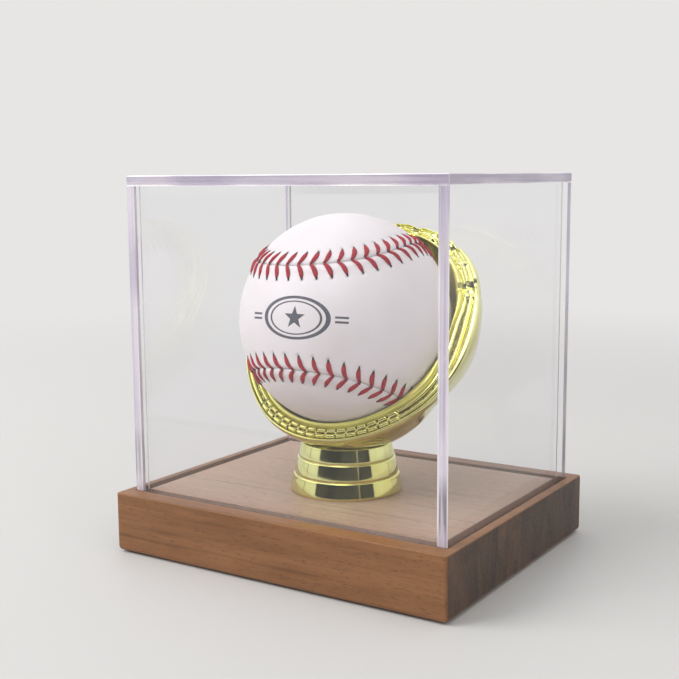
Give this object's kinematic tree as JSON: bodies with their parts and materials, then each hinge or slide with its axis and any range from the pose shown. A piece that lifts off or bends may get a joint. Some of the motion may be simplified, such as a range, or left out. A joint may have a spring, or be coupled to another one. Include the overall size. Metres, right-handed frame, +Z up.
{
  "type": "baseball display case",
  "caption": "Clear lift-off cover on a grooved wooden base, with a ball resting in a plated glove-shaped cradle on a stepped round pedestal.",
  "frame": {"origin": "middle of the footprint, on the surface that the foot pads stand on", "axes": "+X to the right of the case seen from the front, -Y towards the front, +Z up"},
  "size_m": [0.1306, 0.107, 0.1317],
  "materials": {
    "wood": "satin oiled, grain along the length",
    "acrylic": "clear polished sheet with bright edges",
    "gold_plating": "bright pale gold plating on moulded plastic",
    "ball_leather": "smooth white leather",
    "red_thread": "waxed cotton thread",
    "yarn": "wound wool yarn",
    "pill_rubber": "moulded",
    "pad_rubber": "matte",
    "steel": "zinc plated",
    "insert_brass": "turned"
  },
  "bodies": {
    "stand": {"base_block": "wood", "fixing_screw": "steel", "foot_pad_back_left": "pad_rubber", "foot_pad_back_right": "pad_rubber", "foot_pad_front_left": "pad_rubber", "foot_pad_front_right": "pad_rubber", "glove_back": "gold_plating", "glove_insert": "insert_brass", "glove_palm": "gold_plating", "pedestal": "gold_plating", "washer": "steel"},
    "cover": {"cover_front": "acrylic", "cover_back": "acrylic", "cover_left": "acrylic", "cover_right": "acrylic", "cover_top": "acrylic"},
    "ball": {"ball_pill": "pill_rubber", "ball_winding": "yarn", "ball_panel_a": "ball_leather", "ball_panel_b": "ball_leather", "ball_stitching": "red_thread"}
  },
  "joints": [
    {"name": "cover_lift", "type": "slide", "parent": "stand", "child": "cover", "axis": [0, 0, 1], "range_m": [0, 0.14]},
    {"name": "ball_lift", "type": "slide", "parent": "stand", "child": "ball", "axis": [0, 0, 1], "range_m": [0, 0.009]}
  ]
}
